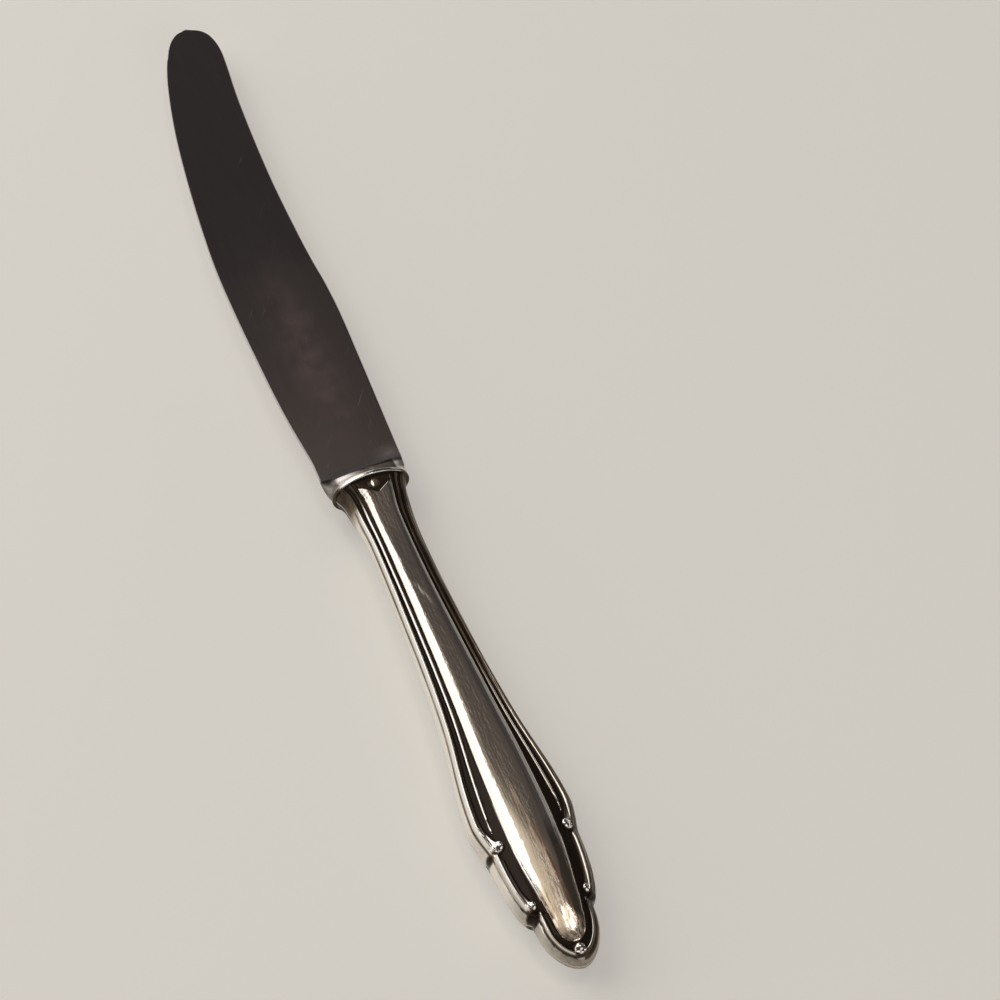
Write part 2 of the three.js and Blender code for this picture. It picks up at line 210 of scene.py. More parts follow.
ROOM_RAMP = [
    # (height of the direction, colour)
    (0.00, (0.50, 0.48, 0.45, 1)),
    (0.08, (0.40, 0.385, 0.36, 1)),
    (0.24, (0.075, 0.066, 0.060, 1)),
    (0.70, (0.046, 0.040, 0.039, 1)),
    (0.76, (0.045, 0.038, 0.038, 1)),
    (0.82, (0.078, 0.064, 0.057, 1)),
    (0.87, (0.074, 0.060, 0.052, 1)),
    (1.00, (0.13, 0.11, 0.095, 1)),
]
CEILING_GLOW = (0.25, 0.30, 0.92)
GLOW_COLOUR = (0.65, 0.56, 0.45, 1)
RIGHT_SIDE_COLOUR = (0.060, 0.052, 0.048, 1)
room = bpy.data.worlds.new("dark_room")
bpy.context.scene.world = room
room.use_nodes = True
tree = room.node_tree
way = add_node(tree, "TexCoord", {}).outputs["Generated"]
way_parts = add_node(tree, "SeparateXYZ", {0: way}).outputs
glow_near = add_node(tree, "VectorMath", {0: way, 1: CEILING_GLOW}, operation="DOT_PRODUCT").outputs["Value"]
glow_share = map_range(tree, glow_near, 0.84, 1.0, course="SMOOTHSTEP")
right_share = map_range(tree, way_parts["Y"], -0.35, -0.75, course="SMOOTHSTEP")
room_colour = colour_ramp(tree, way_parts["Z"], ROOM_RAMP)
room_colour = blend(tree, glow_share, room_colour, GLOW_COLOUR)
room_colour = blend(tree, right_share, room_colour, RIGHT_SIDE_COLOUR)
feed(tree.nodes["Background"], {"Color": room_colour})
print("room stops:", len(ROOM_RAMP))

# %% [markdown]
# The outlines are smooth curves through a few measured points. Between two points a curve eases
# from one value to the next with the slope of the neighbours. Plainer courses, such as the depth
# of a channel, are straight lines through points.

# %% Curves and lines through points
def smooth_step(low, high, value):
    """Rises smoothly from 0 at low to 1 at high."""
    share = np.clip((value - low) / (high - low), 0, 1)
    return share * share * (3 - 2 * share)


def curve_through(points):
    """A curve through (place, value) points that is level beyond its ends and reads whole arrays."""
    places, values = np.array(points, float).T
    last = len(places) - 1
    before = np.maximum(np.arange(last + 1) - 1, 0)
    after = np.minimum(np.arange(last + 1) + 1, last)
    slopes = (values[after] - values[before]) / (places[after] - places[before])

    def read(place):
        at = np.clip(place, places[0], places[-1])
        k = np.clip(np.searchsorted(places, at), 1, last)
        span = places[k] - places[k - 1]
        t = (at - places[k - 1]) / span
        ease = smooth_step(0, 1, t)
        out = t * (1 - t) ** 2 * slopes[k - 1] * span
        back = t * t * (1 - t) * slopes[k] * span
        return values[k - 1] + (values[k] - values[k - 1]) * ease + out - back

    return read


def lines_through(points, place):
    """Reads straight lines through (place, value) points, level beyond their ends."""
    places, values = np.array(points, float).T
    return np.interp(place, places, values)


print("halfway between 0 and 1:", smooth_step(0, 1, 0.5))

# %% [markdown]
# The handle is pressed from two sheets of silver. Its outline narrows from the mouth to the
# neck, swells to the belly and then steps in twice, as lobes, before the round butt.

# %% Outline of the handle
HANDLE_LENGTH = 113.0
BELLY_AT = 80.5
FIRST_NOTCH_AT = 88.0
SECOND_NOTCH_AT = 102.0
FOCUS_AT = 104.0
FIRST_NOTCH_HALF = 9.1
SECOND_NOTCH_HALF = 6.0
BUTT_HALF = 5.8
BUTT_ROUNDNESS = 1.8
shank_half = curve_through([
    (0, 7.6), (2.6, 6.6), (15, 5.5), (40, 6.3), (61, 7.9), (BELLY_AT, 10.4),
    (FIRST_NOTCH_AT, FIRST_NOTCH_HALF),
])
half_thickness = curve_through([
    (0, 5.4), (15, 4.8), (40, 5.35), (BELLY_AT, 6.25), (FIRST_NOTCH_AT, 6.1), (SECOND_NOTCH_AT, 4.7),
    (FOCUS_AT, 4.4),
])


def half_width(at):
    """Half-width of the handle at distances from its mouth."""
    lobe_share = np.clip((at - FIRST_NOTCH_AT) / (SECOND_NOTCH_AT - FIRST_NOTCH_AT), 0, 1)
    bow = np.sqrt(1 - lobe_share ** 2)
    lobe = SECOND_NOTCH_HALF + (FIRST_NOTCH_HALF - SECOND_NOTCH_HALF) * bow
    butt_share = np.clip((at - SECOND_NOTCH_AT) / (FOCUS_AT - SECOND_NOTCH_AT), 0, 1)
    butt = SECOND_NOTCH_HALF + (BUTT_HALF - SECOND_NOTCH_HALF) * butt_share
    return np.where(at <= FIRST_NOTCH_AT, shank_half(at), np.where(at <= SECOND_NOTCH_AT, lobe, butt))


def butt_reach(angle):
    """How far the round butt reaches from its focus, at an angle from the knife's axis."""
    along = np.abs(np.cos(angle)) / (HANDLE_LENGTH - FOCUS_AT)
    across = np.abs(np.sin(angle)) / BUTT_HALF
    return (along ** BUTT_ROUNDNESS + across ** BUTT_ROUNDNESS) ** (-1 / BUTT_ROUNDNESS)


print("half-width at the belly in mm:", half_width(np.array(BELLY_AT)))

# %% [markdown]
# The press die is described in stations that look outwards from the axis. They run down one side
# of the handle, fan round the butt and come back up the other side. They lie closest at the
# mouth and where the threads end in scrolls, so that small beads stay round.

# %% Stations of the press die
FAN_STATIONS = 69
STATION_STEPS = [
    # (from, to, step)
    (0, 6, 0.15),
    (6, 80, 0.74),
    (80, FOCUS_AT - 0.1, 0.18),
]
fan = np.linspace(np.pi / 2, -np.pi / 2, FAN_STATIONS)
straight = np.concatenate([np.arange(*steps) for steps in STATION_STEPS])
level = np.zeros(len(straight))


def down_round_and_up(down, fanned, up):
    """One value for each station, as a column."""
    return np.concatenate([down, fanned, up])[:, None]


station_at = down_round_and_up(straight, np.full(FAN_STATIONS, FOCUS_AT), straight[::-1])
station_along = down_round_and_up(level, np.cos(fan), level)
station_across = down_round_and_up(level + 1, np.sin(fan), level - 1)
station_reach = down_round_and_up(half_width(straight), butt_reach(fan), half_width(straight)[::-1])
print("stations:", len(station_at))

# %% [markdown]
# The smooth centre panel is widest at the belly and ends in a round nose near the butt. Rows
# of points run from the seam up the wall, across the threads and over the panel to the axis,
# closest together where the threads lie.

# %% Panel and rows of the press die
PANEL_END_AT = 109.0
PANEL_RIM = 0.25
WALL_LEAN = 0.8
WALL_ROWS = 8
THREAD_ROWS = 38
PANEL_ROWS = 22
panel_half = curve_through([
    (0, 3.75), (3, 3.3), (8, 2.8), (20, 2.7), (31, 2.9), (56, 3.8), (68, 4.43), (79, 4.75), (85, 4.75),
    (90, 4.65), (94, 4.3), (98, 3.8), (101, 3.5), (FOCUS_AT, 3.05),
])
panel_nose = 1 / np.hypot(np.cos(fan) / (PANEL_END_AT - FOCUS_AT), np.sin(fan) / panel_half(FOCUS_AT))
station_panel = down_round_and_up(panel_half(straight), panel_nose, panel_half(straight)[::-1])
wall_share = np.linspace(0, 1, WALL_ROWS, endpoint=False) ** 1.6
thread_share = np.linspace(0, 1, THREAD_ROWS, endpoint=False)
panel_share = np.linspace(0, 1, PANEL_ROWS) ** 1.4
wall_top = station_reach - WALL_LEAN
panel_rim = station_panel - PANEL_RIM
rows_on_wall = station_reach - WALL_LEAN * wall_share
rows_on_threads = wall_top + (panel_rim - wall_top) * thread_share
rows_on_panel = panel_rim * (1 - panel_share)
out = np.concatenate([rows_on_wall, rows_on_threads, rows_on_panel], axis=1)
plan_along = station_at + station_along * out
plan_across = station_across * out


def rise_along(low, high):
    """Rises smoothly from 0 to 1 between two distances from the mouth."""
    return smooth_step(low, high, plan_along)


def read_along(points):
    """Straight lines through (distance from the mouth, value) points."""
    return lines_through(points, plan_along)


print("rows from seam to axis:", out.shape[1])

# %% [markdown]
# The pattern lies a little to one side of the outline, as when a sheet slips in the press, so its
# places are measured from a shifted middle line.

# %% Slip of the pattern
BELLY_SLIP = -0.3
MOUTH_SLIP = -0.35
pattern_shift = BELLY_SLIP * rise_along(20, 60) * rise_along(109, 100)
pattern_shift = pattern_shift + MOUTH_SLIP * rise_along(10, 3)
pattern_out = np.abs(out - pattern_shift * station_across)
side_across = np.abs(plan_across - pattern_shift)
print("largest slip in mm:", round(np.abs(pattern_shift).max(), 2))

# %% [markdown]
# The threads are raised wires in the pressed pattern. The border thread follows the outline and
# curls in to a bead before each notch. A thinner thread runs beside it and fades before the
# first bead. Each is a path of points, from the mouth towards the butt.

# %% Paths of the threads
FIRST_BEAD = (86.8, 7.0)
SECOND_BEAD = (100.0, 5.6)
BUTT_BEAD = (110.7, 0.0)
INNER_END_AT = 83.9
LOBE_FROM = 88.1
LOBE_INSET = 1.65
BUTT_FROM = 101.7
BUTT_START = [(BUTT_FROM, 4.5), (102.6, 4.4)]
BUTT_INSET = 1.5
border_inset = curve_through([
    (0, 1.1), (31, 1.08), (56, 1.25), (70, 1.25), (BELLY_AT, 1.45), (FIRST_NOTCH_AT, 1.45),
])
inner_share = curve_through([
    (0, 0.45), (20, 0.45), (31, 0.42), (56, 0.39), (68, 0.44), (79, 0.5), (84, 0.56),
])


def border_crest(at):
    return half_width(at) - border_inset(at)


def lobe_crest(at):
    return half_width(at) - LOBE_INSET


def curl_in(at, bead, crest, length):
    """How far a border thread bends in on its way to its bead."""
    near = np.clip(1 - np.abs(at - bead[0]) / length, 0, 1)
    return (bead[1] - crest(np.array(bead[0]))) * near ** 2


border_at = np.concatenate([np.arange(-1, 80, 1.0), np.linspace(80, FIRST_BEAD[0], 40)])
border_out = border_crest(border_at) + curl_in(border_at, FIRST_BEAD, border_crest, length=5)
inner_at = np.linspace(-1, INNER_END_AT, 110)
inner_out = panel_half(inner_at) + (border_crest(inner_at) - panel_half(inner_at)) * inner_share(inner_at)
lobe_at = np.linspace(LOBE_FROM, SECOND_BEAD[0], 50)
lobe_out = lobe_crest(lobe_at) + curl_in(lobe_at, SECOND_BEAD, lobe_crest, length=4)
butt_angle = np.linspace(np.pi / 2, 0, 40)
butt_crest = butt_reach(butt_angle) - BUTT_INSET
start_at, start_out = np.array(BUTT_START).T
butt_at = np.concatenate([start_at, FOCUS_AT + np.cos(butt_angle) * butt_crest])
butt_out = np.concatenate([start_out, np.sin(butt_angle) * butt_crest])
print("points on the border thread:", len(border_at))

# %% [markdown]
# Every thread has its own half-width and rise along the way. The border is the boldest, and all
# of them thin out where they start or fade. A bead is a small dome at the end of a thread.

# %% Sizes of the threads
border_width = curve_through([(0, 0.5), (40, 0.58), (60, 0.72), (80, 0.88), (84, 0.95), (87, 0.8)])
BORDER_RISE = [(0, 0.42), (40, 0.52), (80, 0.72), (84.5, 0.72), (FIRST_BEAD[0], 0.6)]
INNER_WIDTH = [(0, 0.36), (60, 0.42), (78, 0.42), (INNER_END_AT, 0.12)]
INNER_RISE = [(0, 0.42), (60, 0.5), (78, 0.5), (INNER_END_AT, 0.2)]
LOBE_WIDTH = [(LOBE_FROM, 0.4), (90, 0.78), (98, 0.8)]
LOBE_RISE = [(LOBE_FROM, 0.35), (90, 0.62), (98, 0.62), (SECOND_BEAD[0], 0.5)]
BUTT_WIDTH = [(BUTT_FROM, 0.3), (FOCUS_AT, 0.48)]
BUTT_RISE = [(BUTT_FROM, 0.3), (FOCUS_AT, 0.55)]
threads = [
    # (path along, path out, half-widths, rises)
    (border_at, border_out, border_width(border_at), lines_through(BORDER_RISE, border_at)),
    (inner_at, inner_out, lines_through(INNER_WIDTH, inner_at), lines_through(INNER_RISE, inner_at)),
    (lobe_at, lobe_out, lines_through(LOBE_WIDTH, lobe_at), lines_through(LOBE_RISE, lobe_at)),
    (butt_at, butt_out, lines_through(BUTT_WIDTH, butt_at), lines_through(BUTT_RISE, butt_at)),
]
beads = [
    # (place, radius, rise)
    (FIRST_BEAD, 1.2, 1.15),
    (SECOND_BEAD, 1.05, 0.95),
    (BUTT_BEAD, 1.15, 0.85),
]
print("threads:", len(threads), "beads:", len(beads))

# %% [markdown]
# A thread is a rounded ridge over the distance from its path. Where threads and beads meet the
# higher one wins, as in wire laid on wire. The foot of a bead, away from its thread, is
# remembered for the tarnish.

# %% Rise of the threads
FOOT_GAP = 0.1
THREAD_WAY = (-0.9, 0.45)


def ridge(path_along, path_out, widths, rises, along, across):
    """How near the crest of a thread each point lies, from 0 to 1, and the thread's rise there."""
    best = np.full(along.shape, np.inf)
    width = np.ones(along.shape)
    rise = np.zeros(along.shape)
    for k in range(len(path_along) - 1):
        step = np.array([path_along[k + 1] - path_along[k], path_out[k + 1] - path_out[k]])
        t = ((along - path_along[k]) * step[0] + (across - path_out[k]) * step[1]) / step.dot(step)
        t = np.clip(t, 0, 1)
        gap = np.hypot(along - path_along[k] - t * step[0], across - path_out[k] - t * step[1])
        nearer = gap < best
        best = np.where(nearer, gap, best)
        width = np.where(nearer, widths[k] + (widths[k + 1] - widths[k]) * t, width)
        rise = np.where(nearer, rises[k] + (rises[k + 1] - rises[k]) * t, rise)
    return np.clip(1 - (best / width) ** 2, 0, 1), rise


thread_rise, thread_crest, bead_crest, bead_foot = np.zeros((4, *out.shape))
for path in threads:
    crest, rise = ridge(*path, plan_along, side_across)
    thread_rise = np.maximum(thread_rise, rise * crest)
    thread_crest = np.maximum(thread_crest, crest)
for (bead_at, bead_out), radius, rise in beads:
    gap = np.hypot(plan_along - bead_at, side_across - bead_out)
    crest = np.clip(1 - (gap / radius) ** 2, 0, 1)
    thread_rise = np.maximum(thread_rise, rise * np.sqrt(crest))
    bead_crest = np.maximum(bead_crest, crest)
    along_way = THREAD_WAY[0] * (plan_along - bead_at)
    across_way = THREAD_WAY[1] * (side_across - bead_out)
    to_thread = (across_way + along_way) / (gap + 0.01)
    foot = smooth_step(0.35, 0.05, np.abs(gap - radius - FOOT_GAP)) * smooth_step(0.5, -0.1, to_thread)
    bead_foot = np.maximum(bead_foot, foot)
print("highest thread in mm:", round(thread_rise.max(), 2))

# %% [markdown]
# The sheet is a smooth crown with a sunk channel between the border and the panel. The threads
# stand in that channel, and a fine crease runs outside the border. Under the rim of the mouth a
# small V is sunk into the panel.

# %% Crown, channel and V of the sheet
SECTION_ROUNDNESS = 2.3
LOBE_CHANNEL_INSET = 1.5
V_LENGTH = 3.8
V_SLANT = 0.66
V_END_AT = 4.5
V_DROP = 1.0
V_FADE = 2.2
CHANNEL_DEPTH = [(0, 0.3), (5, 0.6), (20, 0.66), (42, 0.64), (75, 0.95), (100, 0.85), (112, 0.7)]
CREASE_OUTSIDE = [(0, 0.6), (60, 0.8), (85, 0.95), (100, 0.85), (102.5, 0.65), (FOCUS_AT, 0.55)]
CREASE_HALF = [(0, 0.18), (70, 0.2), (90, 0.3)]
channel_depth = read_along(CHANNEL_DEPTH)
out_share = np.clip(out / station_reach, 0, 1)
section = (1 - out_share ** SECTION_ROUNDNESS) ** (1 / SECTION_ROUNDNESS)
crown = half_thickness(station_at) * section
inset = np.where(station_at > FIRST_NOTCH_AT, LOBE_CHANNEL_INSET, border_inset(station_at))
channel_edge = station_reach - inset
in_channel = smooth_step(-0.25, 0.45, channel_edge - pattern_out)
past_panel = pattern_out - station_panel
v_edge = V_LENGTH - V_SLANT * side_across
on_panel = smooth_step(0.22, -0.18, past_panel) * smooth_step(-0.18, 0.18, plan_along - v_edge)
in_v = smooth_step(0.3, -0.3, past_panel) * (1 - on_panel) * (plan_along < V_END_AT)
v_scoop = V_DROP * in_v * (1 - np.exp(-plan_along / V_FADE))
crease_at = channel_edge + lines_through(CREASE_OUTSIDE, station_at)
crease = np.clip(1 - np.abs(pattern_out - crease_at) / read_along(CREASE_HALF), 0, 1)
print("crown at the belly in mm:", round(crown.max(), 3))

# %% [markdown]
# The panel has a nearly flat top, a shoulder that rounds over, and a narrow chamfer down to the
# channel. How soon the shoulder turns decides how broad the panel's white line is, because only
# a slope that leans enough towards the softbox mirrors it.

# %% Panel and height of the sheet
GLINT_SLOPE = [(78, 0.082), (88, 0.12), (95, 0.11), (FOCUS_AT, 0.082)]
FLAT_HALF = [
    (0, 0.64), (12, 0.64), (22, 0.54), (42, 0.51), (58, 0.54), (70, 0.57), (78, 0.52), (88, 0.38), (95, 0.42),
    (FOCUS_AT, 0.40),
]
CHAMFER_FROM = 0.83
CHAMFER_TO = 1.15
SHOULDER_SLOPE = 0.58
NOSE_FLATTENING = 0.45
CREASE_DEPTH = 0.14
panel_ridge = curve_through([
    (0, 5.02), (8, 4.86), (15, 4.8), (40, 5.35), (BELLY_AT, 6.25), (FIRST_NOTCH_AT, 6.1), (95, 5.46),
    (102, 4.7), (FOCUS_AT, 4.4), (106, 4.06), (108, 3.68), (110, 3.2),
])
flat_share = read_along(FLAT_HALF) / CHAMFER_FROM
turn = np.log(read_along(GLINT_SLOPE) / SHOULDER_SLOPE) / np.log(flat_share) + 1
panel_share_out = np.clip(pattern_out / station_panel, 0, CHAMFER_TO)
rounded = CHAMFER_FROM / turn * (np.minimum(panel_share_out, CHAMFER_FROM) / CHAMFER_FROM) ** turn
chamfer = np.maximum(panel_share_out - CHAMFER_FROM, 0)
panel_scale = panel_half(station_at) * (1 - NOSE_FLATTENING * station_along)
panel_height = panel_ridge(plan_along) - panel_scale * SHOULDER_SLOPE * (rounded + chamfer)
height = crown - channel_depth * in_channel - CREASE_DEPTH * crease - v_scoop
height = height * (1 - on_panel) + panel_height * on_panel + thread_rise
print("highest point of the sheet in mm:", round(height.max(), 3))

# %% [markdown]
# Polishing cannot reach into the channels, so dark sulphide stays there. Each mask below holds a
# number from 0, clean, towards 1, black, for every point of the die. The crests of threads and
# beads are rubbed clean, and so is one spot inside the V.

# %% Tarnish in the channels
CLEAN_SPOT = (1.35, -0.6)
spot_gap = np.hypot(plan_along - CLEAN_SPOT[0], plan_across - CLEAN_SPOT[1])
clean_spot = in_v * smooth_step(1.05, 0.6, spot_gap)
channel_dark = smooth_step(0.15, 0.6, in_channel) * (1 - smooth_step(0, 0.65, on_panel))
channel_dark = channel_dark * (1 - smooth_step(0.5, 0.85, thread_crest))
channel_dark = channel_dark * (1 - smooth_step(0.1, 0.4, bead_crest))
channel_dark = channel_dark * (1 - 0.25 * in_v) * (1 - 0.97 * clean_spot)
print("share of the sheet in dark channels:", round(channel_dark.mean(), 2))

# %% [markdown]
# More of it stays at the mouth and in patches on the panel near the mouth. Painted shade goes
# into the same masks: just under the ferrule's rim, in the two notches, along the creases, on the
# lobes, along the panel's far rim near the mouth, and on the flank round the notches and the butt,
# where it stands in for a dark reflection. The flank is otherwise nearly clean. Where marks
# overlap, the darkest one shows.

# %% Tarnish and painted shade on both sheets
NOTCH_MARKS = [
    # (distance from the mouth, half-width there, radius of the mark)
    (FIRST_NOTCH_AT, FIRST_NOTCH_HALF, 1.3),
    (SECOND_NOTCH_AT, SECOND_NOTCH_HALF, 1.8),
]
# Darkening of the flank: tarnish near the mouth, painted shade for a dark reflection round the notches and
# the butt.
FLANK_SHADE_AND_TARNISH = [
    (0, 0.35), (5, 0.05), (78, 0.04), (85, 0.16), (89, 0.08), (95, 0.06), (98.5, 0.2), (102, 0.34),
    (106, 0.26), (111, 0.4),
]


def darkest(marks):
    """The strongest of several (mask, strength) marks at every point."""
    return np.maximum.reduce([mask * strength for mask, strength in marks])


edge_gap = station_reach - out
panel_place = (plan_across - pattern_shift) / station_panel
# Painted shade in the two notches, stronger higher up the sheet.
notch_shade = np.zeros(out.shape)
for notch_at, notch_out, radius in NOTCH_MARKS:
    gap = np.hypot(plan_along - notch_at, side_across - notch_out)
    notch_shade = np.maximum(notch_shade, smooth_step(radius, radius - 1, gap))
notch_shade = notch_shade * (0.64 + 0.36 * smooth_step(0.3, 1.6, height))
on_flank = smooth_step(1.0, 0.4, edge_gap)
in_lobe = rise_along(88, 90) * rise_along(101, 98)
lobe_shade = in_lobe * smooth_step(0.3, 1.0, edge_gap) * smooth_step(1.5, 1.1, edge_gap)
patches = np.sin(4.1 * plan_along + 2.3 * plan_across) * np.sin(5.3 * plan_across - 1.7 * plan_along)
mouth_stain = rise_along(9, 3.5) * smooth_step(0, 0.5, panel_place) * on_panel
far_rim_shade = rise_along(10, 4) * smooth_step(-0.7, -0.84, panel_place) * on_panel
back_tarnish_and_shade = darkest([
    (channel_dark, 1),
    (rise_along(9.5, 2.5) * (1 - on_panel) * (1 - in_v), 0.75),
    # Painted shade just under the ferrule's rim.
    (rise_along(0.7, 0.1), 0.9),
    (notch_shade, 1),
    (on_flank, read_along(FLANK_SHADE_AND_TARNISH)),
    (lobe_shade, 0.3),
    # Painted shade along the crease outside the border.
    (crease, 0.8 - 0.3 * in_lobe),
    (bead_foot, 0.8),
    (mouth_stain, 0.13 + 0.2 * smooth_step(-0.5, 0.8, patches)),
    # Painted shade on the panel's far rim near the mouth.
    (far_rim_shade, 0.35),
    (on_panel, 0.08),
])
print("dark share of the back sheet:", round(back_tarnish_and_shade.mean(), 2))

# %% [markdown]
# The front sheet gets painted shade on its far side, for the dark reflections there: its far
# border, its far flank and the far side of the panel towards the butt are darker. The near side
# of the panel's nose is darker too.

# %% More painted shade on the front sheet
RIGHT_DARK_FROM = [(94, -0.42), (100, -0.16), (103, -0.16), (106, -0.42)]
# Painted shade, standing in for a dark reflection on the far side.
far_side = smooth_step(0.9, 1.9, height) * (plan_across < 0)
far_neck = far_side * rise_along(68, 40) * (1 - on_panel)
far_neck = far_neck * smooth_step(0.05, 0.5, in_channel + smooth_step(1.8, 1.0, edge_gap))
far_edge = far_side * smooth_step(0.05, -0.3, edge_gap - inset)
far_panel_shade = smooth_step(0, -0.14, panel_place - read_along(RIGHT_DARK_FROM))
far_panel_shade = far_panel_shade * (1 - smooth_step(-0.88, -0.94, panel_place)) * rise_along(82, 92) * on_panel
nose_darkening = rise_along(96, 100) * rise_along(105, 102) * smooth_step(0.3, 0.7, panel_place) * on_panel
front_tarnish_and_shade = darkest([
    (back_tarnish_and_shade, 1),
    (far_neck, 0.62 + 0.12 * rise_along(45, 20)),
    (far_edge, 0.75),
    (far_side * on_flank, 0.7),
    (far_panel_shade, 0.46),
    (nose_darkening, 0.4),
])
print("dark share of the front sheet:", round(front_tarnish_and_shade.mean(), 2))

# %% [markdown]
# Towards the butt the panel is rubbed dull, and a painted warm reflection colours it gold with a
# reddish border. A smear lies across the panel near the neck. The flank is satin and not
# mirror-bright, as after filing the seam, so it shares the smear's mask.

# %% Painted gold reflection, red border and smear
RUB_MIDDLE = [
    (60, 0.28), (80, 0.15), (92, 0.1), (97, 0.25), (101, 0.5), (103, 0.45), (105, 0.25), (108, 0.2),
]
RUB_HALF = [
    (60, 0.22), (80, 0.3), (90, 0.4), (95, 0.55), (99, 0.8), (103, 0.8), (105, 1.25), (108, 1.35),
]
RED_PLACE = [(84, -0.10), (90, -0.15), (100, -0.28), (106, -0.36)]
RED_HALF = 0.1
SMEAR_ACROSS = [(26.5, 0.95), (34.5, -1.4)]
SMEAR_HALF = 0.4
# Where the panel is rubbed, a painted warm reflection colours it gold with a reddish border.
rub_gap = np.abs(panel_place - read_along(RUB_MIDDLE)) / read_along(RUB_HALF)
rub_and_reflection_mask = smooth_step(1.0, 0.25, rub_gap) * rise_along(64, 90) * on_panel
red_gap = (panel_place - read_along(RED_PLACE)) / RED_HALF
red_reflection_mask = np.exp(-red_gap ** 2) * rise_along(80, 90) * rise_along(107, 102) * on_panel
smear_gap = (plan_across - read_along(SMEAR_ACROSS)) / SMEAR_HALF
smear = np.exp(-smear_gap ** 2) * rise_along(26, 28) * rise_along(36, 29) * on_panel
dull_mask = darkest([(smear, 1), (smooth_step(1.1, 0.5, edge_gap), 1.5), (clean_spot, 0.25)])
print("rubbed share of the sheet:", round(rub_and_reflection_mask.mean(), 2))

# %% [markdown]
# A sheet starts as a plain grid from the mesh menu, with one point for each place on the die.
# Pressing moves the points to the die, merging by distance closes the sheet along the axis, and
# the Solidify modifier gives the metal its thickness on the inside. Sculpting would also work,
# but numbers keep both halves alike and let them meet at the seam.

# %% Tools of the press
WELD_GAP = 0.002 * MM


def name_piece(name):
    """Names the piece that was just added, and its mesh."""
    piece = bpy.context.object
    piece.name = name
    piece.data.name = name
    return piece


def start_grid(name, lines, points):
    """A grid with that many lines of points, and the line and point number of each vertex."""
    bpy.ops.mesh.primitive_grid_add(x_subdivisions=lines - 1, y_subdivisions=points - 1, size=2)
    piece = name_piece(name)
    corners = np.empty(3 * len(piece.data.vertices), np.float32)
    piece.data.vertices.foreach_get("co", corners)
    corners = corners.reshape(-1, 3)
    line = np.rint((corners[:, 0] + 1) / 2 * (lines - 1)).astype(int)
    point = np.rint((corners[:, 1] + 1) / 2 * (points - 1)).astype(int)
    return piece, line, point


def move_points(piece, places):
    """Moves the points of a piece to places in metres."""
    piece.data.vertices.foreach_set("co", places.astype(np.float32).ravel())


def store_masks(piece, masks):
    """Keeps a number from each mask with every point of a piece, for its finish to read."""
    for mask_name, mask in masks.items():
        stored = piece.data.attributes.new(mask_name, "FLOAT", "POINT")
        stored.data.foreach_set("value", mask.astype(np.float32))


def weld(hole_sides=0):
    """Merges points that lie together, closes small holes and makes the faces agree."""
    bpy.ops.object.mode_set(mode="EDIT")
    bpy.ops.mesh.select_all(action="SELECT")
    bpy.ops.mesh.remove_doubles(threshold=WELD_GAP)
    if hole_sides:
        bpy.ops.mesh.fill_holes(sides=hole_sides)
    bpy.ops.mesh.normals_make_consistent(inside=False)
    bpy.ops.object.mode_set(mode="OBJECT")


print("points merge within mm:", WELD_GAP / MM)

# %% [markdown]
# Both halves come off the same die, the lower one mirrored. Near the seam the sheet is drawn
# down to one level, half the seam's height, so that the two rims leave room for the solder.

# %% Press the two halves
SHEET_THICKNESS = 0.45
SEAM_HALF = 0.15
rim_share = 1 - np.minimum(edge_gap / WALL_LEAN, 1)
pressed_height = height + (SEAM_HALF - height[:, :1]) * rim_share ** 2


def press_shell(name, side, tarnish_and_shade):
    """One half of the handle: the upper one for side 1, the lower one for side -1."""
    piece, line, point = start_grid(name, *out.shape)
    places = np.stack([-plan_along, plan_across, side * pressed_height], axis=2)
    move_points(piece, from_mouth(places[line, point]))
    masks = {"tarnish_and_shade": tarnish_and_shade, "rub_and_reflection": rub_and_reflection_mask, "red_reflection": red_reflection_mask, "smear": dull_mask}
    store_masks(piece, {mask_name: mask[line, point] for mask_name, mask in masks.items()})
    weld()
    facing = sum((face.normal * face.area for face in piece.data.polygons), Vector())
    if facing.z * side < 0:
        piece.data.flip_normals()
    sheet = piece.modifiers.new("sheet", "SOLIDIFY")
    sheet.thickness = SHEET_THICKNESS * MM
    sheet.offset = -1
    bpy.ops.object.modifier_apply(modifier="sheet")
    bpy.ops.object.shade_smooth_by_angle(angle=np.radians(50))
    return piece


handle_front = press_shell("handle_front", 1, front_tarnish_and_shade)
handle_back = press_shell("handle_back", -1, back_tarnish_and_shade)
for shell in (handle_front, handle_back):
    print(shell.name, "faces:", len(shell.data.polygons))

# %% [markdown]
# The two halves are joined by a run of silver solder that is filed flush. It is a thin strip
# between the rims, so a grid is folded round the same outline with four points across.

# %% Solder along the seam
STRIP_CORNERS = [
    # (outwards from the outline, height)
    (0, -SEAM_HALF),
    (0, SEAM_HALF),
    (-SHEET_THICKNESS, SEAM_HALF),
    (-SHEET_THICKNESS, -SEAM_HALF),
]
strip_out, strip_high = np.array([*STRIP_CORNERS, STRIP_CORNERS[0]]).T
seam_line, line, point = start_grid("seam_line", len(station_at), len(strip_out))
strip_reach = station_reach + strip_out
strip_along = station_at + station_along * strip_reach
strip_heights = np.broadcast_to(strip_high, strip_reach.shape)
strip_places = np.stack([-strip_along, station_across * strip_reach, strip_heights], axis=2)
move_points(seam_line, from_mouth(strip_places[line, point]))
weld(hole_sides=4)
print("seam strip faces:", len(seam_line.data.polygons))

# %% [markdown]
# The ferrule is the lip ring that the bolster sits on. A cylinder of the mesh menu is turned
# along the knife and stretched to an oval, its ends are inset and bridged for the tang's hole,
# and its rims are rounded with a bevel. Its face and its two narrow ends are darkened by tarnish
# and painted shade, and the rim between them is rubbed bright.

